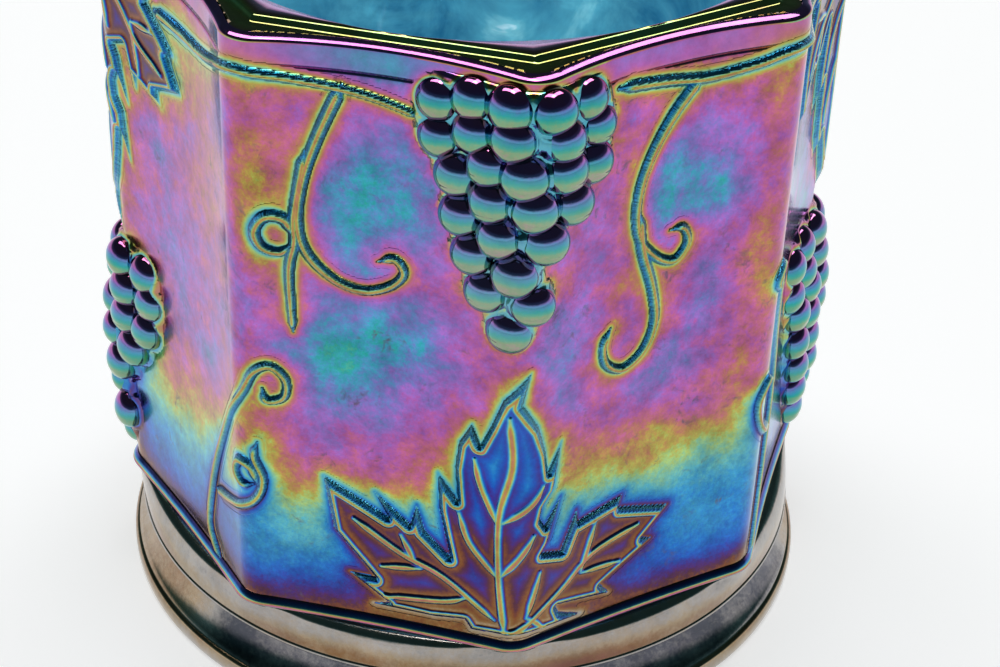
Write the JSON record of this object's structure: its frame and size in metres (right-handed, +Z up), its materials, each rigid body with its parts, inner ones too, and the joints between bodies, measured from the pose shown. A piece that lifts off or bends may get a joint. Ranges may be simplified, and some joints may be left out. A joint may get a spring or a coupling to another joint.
{
  "type": "footed octagonal glass jar",
  "caption": "Eight-sided open glass jar on a round foot, with an iridescent surface and grapes, vine leaves and tendrils in relief.",
  "frame": {"origin": "centre of the foot, on the surface that the jar stands on", "axes": "+Z up along the jar's axis; -Y through the front ridge, which carries a hanging cluster over an upright leaf"},
  "size_m": [0.1402, 0.1418, 0.136],
  "materials": {
    "body_glass": "iridescent outer film, purple, blue, green and gold",
    "foot_glass": "iridescent outer film, pale grey over dark glass",
    "rim_glass": "iridescent outer film, fire-polished",
    "relief_glass": "iridescent outer film, moulded relief"
  },
  "bodies": {
    "root": {"base_ledge": "foot_glass", "border_bead": "foot_glass", "bowl_floor": "body_glass", "bowl_wall": "body_glass", "climber_back_left": "relief_glass", "climber_back_right": "relief_glass", "climber_front_left": "relief_glass", "climber_front_right": "relief_glass", "cluster_back": "relief_glass", "cluster_front": "relief_glass", "cluster_left": "relief_glass", "cluster_right": "relief_glass", "foot_ring": "foot_glass", "leaf_back": "relief_glass", "leaf_front": "relief_glass", "leaf_left": "relief_glass", "leaf_right": "relief_glass", "rim": "rim_glass", "tendril_back_left": "relief_glass", "tendril_back_right": "relief_glass", "tendril_front_left": "relief_glass", "tendril_front_right": "relief_glass", "vine_back_left": "relief_glass", "vine_back_right": "relief_glass", "vine_front_left": "relief_glass", "vine_front_right": "relief_glass"}
  },
  "joints": []
}
